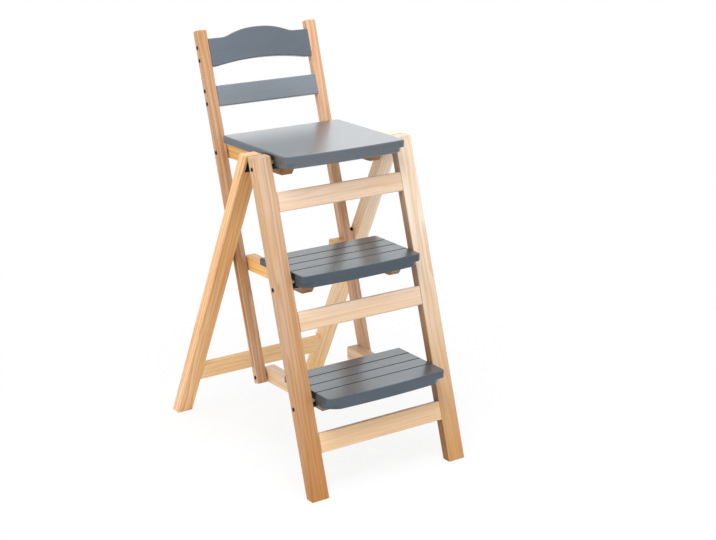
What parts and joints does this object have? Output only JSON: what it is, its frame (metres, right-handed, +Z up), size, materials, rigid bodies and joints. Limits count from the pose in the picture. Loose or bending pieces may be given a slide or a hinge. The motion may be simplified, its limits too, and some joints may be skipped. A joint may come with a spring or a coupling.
{
  "type": "folding step stool chair",
  "caption": "Folding pine chair that doubles as a step stool, with a grey seat, grooved grey steps, and a back and rear legs that fold with the seat.",
  "frame": {"origin": "on the floor, in the middle of the open chair's bounding box", "axes": "+Z up, -Y towards the front, where the steps are climbed, and X across the chair, with left at -X as seen from the front"},
  "size_m": [0.398, 0.607, 0.9014],
  "materials": {
    "pine": "clear satin varnish over light pine",
    "grey_paint": "semi-gloss slate grey paint on wood",
    "black_steel": "satin black"
  },
  "bodies": {
    "front_frame": {"front_leg_left": "pine", "front_leg_right": "pine", "front_rung_low": "pine", "front_rung_mid": "pine", "front_rung_high": "pine", "step_1_front_bolt_left": "black_steel", "step_1_front_bolt_right": "black_steel", "step_2_front_bolt_left": "black_steel", "step_2_front_bolt_right": "black_steel", "seat_front_bolt_left": "black_steel", "seat_front_bolt_right": "black_steel", "step_1_sleeve_left": "black_steel", "step_1_sleeve_right": "black_steel", "step_2_sleeve_left": "black_steel", "step_2_sleeve_right": "black_steel", "seat_sleeve_left": "black_steel", "seat_sleeve_right": "black_steel", "hinge_front_leaf_left": "black_steel", "hinge_front_leaf_right": "black_steel"},
    "seat": {"seat_board": "grey_paint", "seat_rail_left": "pine", "seat_rail_right": "pine"},
    "step_2": {"step_2_board": "grey_paint", "step_2_rail_left": "pine", "step_2_rail_right": "pine"},
    "step_1": {"step_1_board": "grey_paint", "step_1_rail_left": "pine", "step_1_rail_right": "pine"},
    "back_frame": {"back_post_left": "pine", "back_post_right": "pine", "crest_rail": "grey_paint", "lower_slat": "grey_paint", "slat_screw_low_left": "black_steel", "slat_screw_low_right": "black_steel", "slat_screw_high_left": "black_steel", "slat_screw_high_right": "black_steel", "crest_screw_low_left": "black_steel", "crest_screw_low_right": "black_steel", "crest_screw_high_left": "black_steel", "crest_screw_high_right": "black_steel", "step_1_rear_bolt_left": "black_steel", "step_1_rear_bolt_right": "black_steel", "step_2_rear_bolt_left": "black_steel", "step_2_rear_bolt_right": "black_steel", "seat_rear_bolt_left": "black_steel", "seat_rear_bolt_right": "black_steel", "step_1_washer_left": "black_steel", "step_1_washer_right": "black_steel", "step_2_washer_left": "black_steel", "step_2_washer_right": "black_steel", "seat_washer_left": "black_steel", "seat_washer_right": "black_steel"},
    "rear_frame": {"rear_leg_left": "pine", "rear_leg_right": "pine", "rear_rail": "pine", "hinge_rear_leaf_left": "black_steel", "hinge_rear_leaf_right": "black_steel"},
    "guide_pins": {"guide_pin_left": "black_steel", "guide_pin_right": "black_steel"}
  },
  "joints": [
    {"name": "seat_fold", "type": "hinge", "parent": "front_frame", "child": "seat", "pos_m": [0, -0.08866, 0.66], "axis": [1, 0, 0], "range_deg": [0, 59]},
    {"name": "step_2_fold", "type": "hinge", "parent": "front_frame", "child": "step_2", "pos_m": [0, -0.16225, 0.42225], "axis": [1, 0, 0], "range_deg": [0, 59]},
    {"name": "step_1_fold", "type": "hinge", "parent": "front_frame", "child": "step_1", "pos_m": [0, -0.23585, 0.1845], "axis": [1, 0, 0], "range_deg": [0, 59]},
    {"name": "back_fold", "type": "hinge", "parent": "seat", "child": "back_frame", "pos_m": [0, 0.14234, 0.645], "axis": [1, 0, 0], "range_deg": [-59, 0]},
    {"name": "rear_fold", "type": "hinge", "parent": "front_frame", "child": "rear_frame", "pos_m": [0, -0.06843, 0.679], "axis": [1, 0, 0], "range_deg": [-37.08, 0]},
    {"name": "pin_slide", "type": "slide", "parent": "back_frame", "child": "guide_pins", "axis": [0, -0.2957, -0.9553], "range_m": [0, 0.25644]}
  ],
  "couplings": [
    {"joint": "step_2_fold", "follows": "seat_fold", "ratio": 1},
    {"joint": "step_1_fold", "follows": "seat_fold", "ratio": 1},
    {"joint": "back_fold", "follows": "seat_fold", "ratio": -1},
    {"joint": "rear_fold", "follows": "seat_fold", "ratio": -0.62841},
    {"joint": "pin_slide", "follows": "seat_fold", "m_per_rad": 0.24903}
  ]
}
